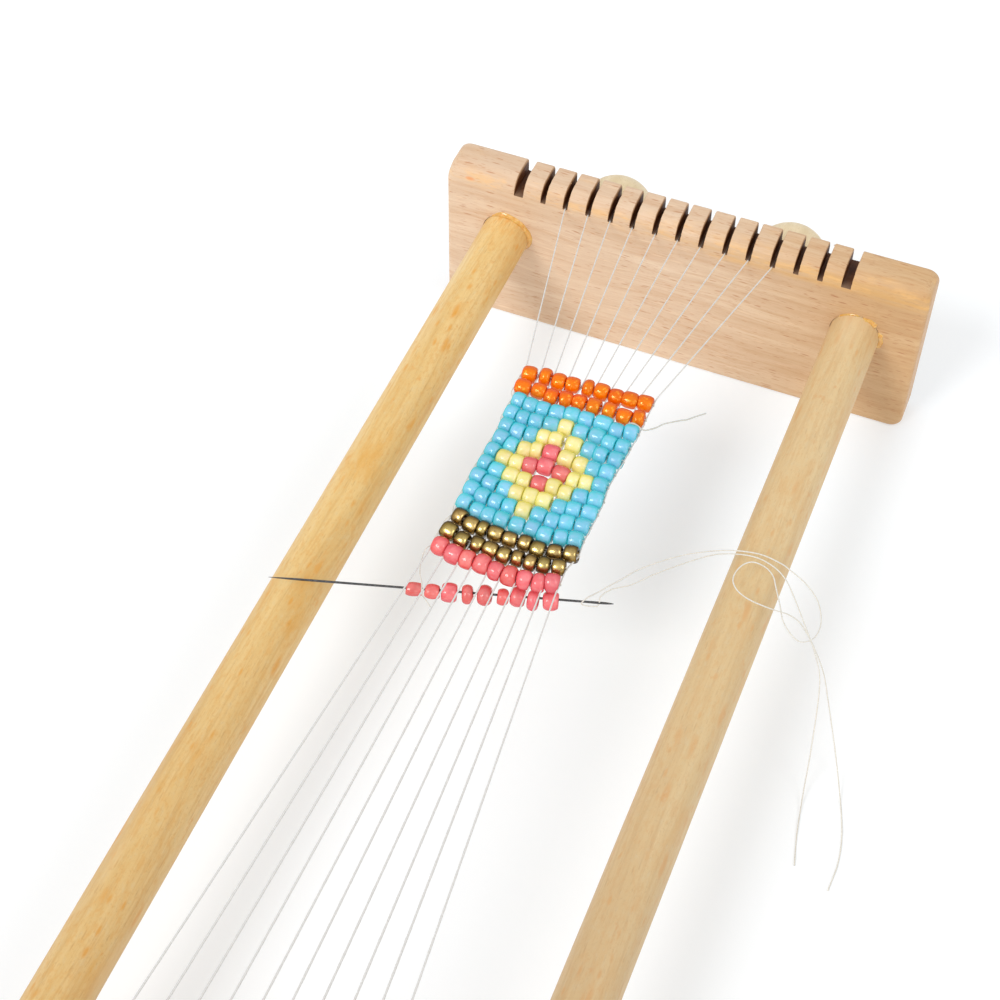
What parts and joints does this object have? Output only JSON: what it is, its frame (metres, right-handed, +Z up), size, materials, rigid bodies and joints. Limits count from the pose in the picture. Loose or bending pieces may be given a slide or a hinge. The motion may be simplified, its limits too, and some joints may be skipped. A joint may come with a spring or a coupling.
{
  "type": "bead weaving loom",
  "caption": "Small wooden bead loom: slotted end boards on dowel rails, strung warps, a partly woven glass bead strip, and a needle carrying the next row.",
  "frame": {"origin": "centre of the underside of the far end board", "axes": "+Z up, +Y along the rails from the near end board to the far end board, +X to the right seen from the near end"},
  "size_m": [0.139, 0.3118, 0.045],
  "materials": {
    "board_wood": "bare sanded beech, fine ray flecks, satin",
    "rail_wood": "bare dowel, straight grain, satin",
    "knob_wood": "raw pale turned wood, matt",
    "set_glue": "amber dried wood glue, glossy",
    "screw_steel": "zinc plated",
    "warp_thread": "off-white twisted thread",
    "weft_thread": "off-white waxed beading thread",
    "orange_glass": "translucent glossy glass",
    "blue_glass": "opaque pearl glass",
    "cream_glass": "opaque pale yellow pearl glass",
    "pink_glass": "opaque coral pink pearl glass",
    "bronze_glass": "metallic bronze coated glass",
    "needle_steel": "polished dark steel"
  },
  "bodies": {
    "loom": {"far_end_board": "board_wood", "near_end_board": "board_wood", "left_rail": "rail_wood", "right_rail": "rail_wood", "glue_squeeze_out": "set_glue", "knob_screws": "screw_steel", "orange_beads": "orange_glass", "blue_beads": "blue_glass", "cream_beads": "cream_glass", "pink_centre_beads": "pink_glass", "bronze_beads": "bronze_glass", "pink_edge_beads": "pink_glass", "weft_thread": "weft_thread", "weft_start_tail": "weft_thread", "weft_edge_loop": "weft_thread", "working_thread": "weft_thread", "warp_thread_01": "warp_thread", "warp_thread_02": "warp_thread", "warp_thread_03": "warp_thread", "warp_thread_04": "warp_thread", "warp_thread_05": "warp_thread", "warp_thread_06": "warp_thread", "warp_thread_07": "warp_thread", "warp_thread_08": "warp_thread", "warp_thread_09": "warp_thread", "warp_thread_10": "warp_thread"},
    "needle": {"needle": "needle_steel", "needle_thread": "weft_thread"},
    "loaded_row": {"loaded_beads": "pink_glass"},
    "far_left_knob": {"far_left_knob": "knob_wood", "far_left_winding": "warp_thread"},
    "far_right_knob": {"far_right_knob": "knob_wood", "far_right_winding": "warp_thread"},
    "near_left_knob": {"near_left_knob": "knob_wood", "near_left_winding": "warp_thread"},
    "near_right_knob": {"near_right_knob": "knob_wood", "near_right_winding": "warp_thread"}
  },
  "joints": [
    {"name": "needle_swing", "type": "hinge", "parent": "loom", "child": "needle", "pos_m": [0.00851, -0.11182, 0.0367], "axis": [0, 0, 1], "range_deg": [-16.9, 28]},
    {"name": "beads_slide", "type": "slide", "parent": "needle", "child": "loaded_row", "axis": [0.957, 0.2899, 0], "range_m": [-0.022, 0.004]},
    {"name": "far_left_knob_turn", "type": "hinge", "parent": "loom", "child": "far_left_knob", "pos_m": [-0.0225, 0.0152, 0.025], "axis": [0, 1, 0], "continuous": true},
    {"name": "far_right_knob_turn", "type": "hinge", "parent": "loom", "child": "far_right_knob", "pos_m": [0.0225, 0.0152, 0.025], "axis": [0, 1, 0], "continuous": true},
    {"name": "near_left_knob_turn", "type": "hinge", "parent": "loom", "child": "near_left_knob", "pos_m": [-0.0225, -0.2752, 0.025], "axis": [0, -1, 0], "continuous": true},
    {"name": "near_right_knob_turn", "type": "hinge", "parent": "loom", "child": "near_right_knob", "pos_m": [0.0225, -0.2752, 0.025], "axis": [0, -1, 0], "continuous": true}
  ]
}
